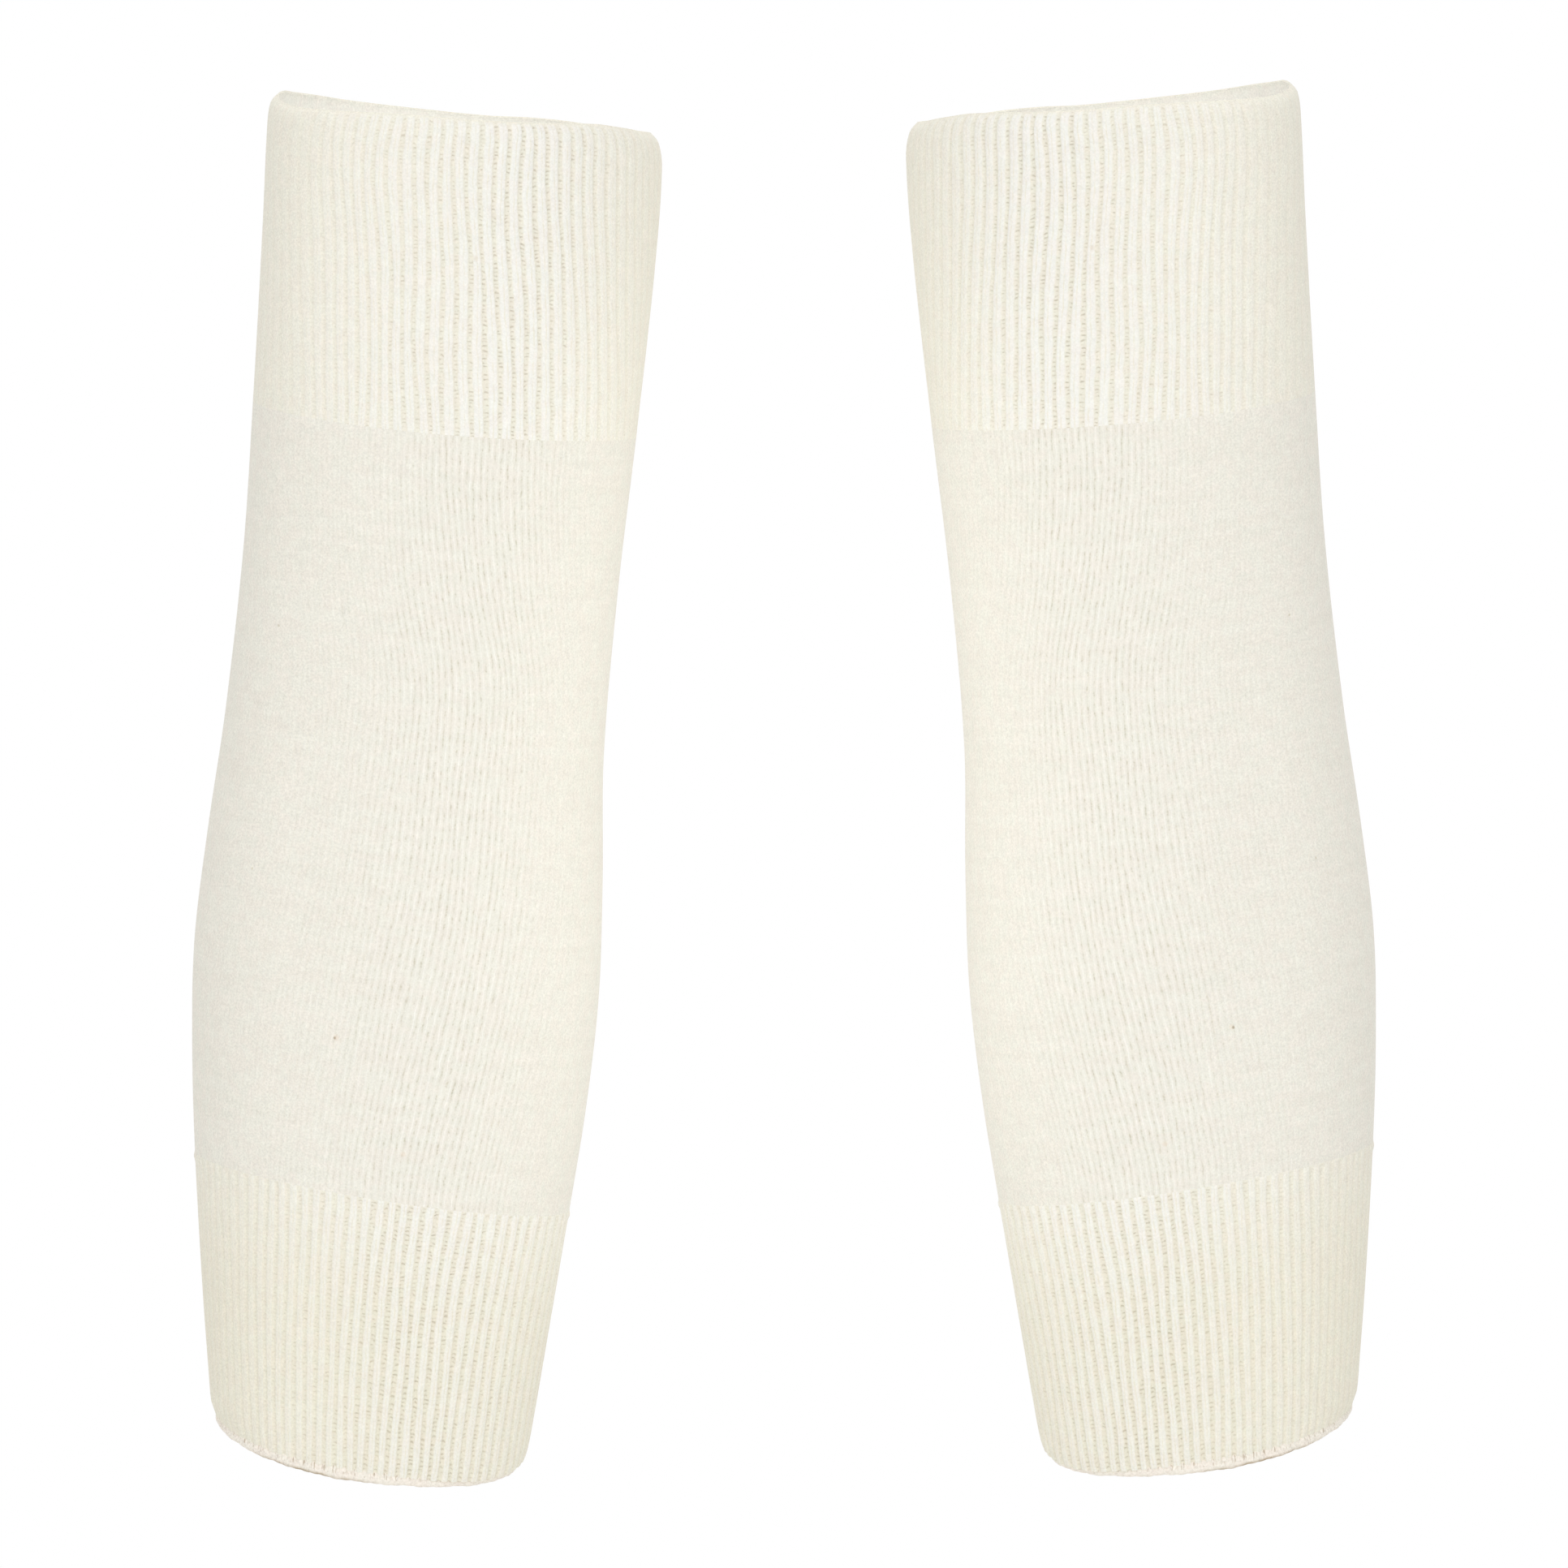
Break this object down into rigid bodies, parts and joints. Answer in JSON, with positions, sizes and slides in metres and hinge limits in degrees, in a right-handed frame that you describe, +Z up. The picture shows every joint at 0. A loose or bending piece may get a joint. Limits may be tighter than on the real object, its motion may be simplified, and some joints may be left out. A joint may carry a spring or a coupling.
{
  "type": "pair of wrist warmers",
  "caption": "Pair of long knitted wrist warmers, each an open oval tube filled out as on a forearm, with ribbed cuffs, a plain body and a rolled lower edge.",
  "frame": {"origin": "midway between the two upper openings, at the mean height of their rims", "axes": "+Z up along the warmers, +Y from the front to the back of the pair, +X from the left-hand warmer to the right-hand one as seen from the front"},
  "size_m": [0.2594, 0.074, 0.3062],
  "materials": {
    "rib_knit": "one-by-one rib in soft cream wool, matt",
    "plain_knit": "plain knit in soft cream wool, lightly felted, matt",
    "rolled_edge": "rolled cast-on edge in cream wool, matt"
  },
  "bodies": {
    "root": {"left_upper_cuff": "rib_knit", "left_body": "plain_knit", "left_lower_cuff": "rib_knit", "left_lower_edge": "rolled_edge", "right_upper_cuff": "rib_knit", "right_body": "plain_knit", "right_lower_cuff": "rib_knit", "right_lower_edge": "rolled_edge"}
  },
  "joints": []
}
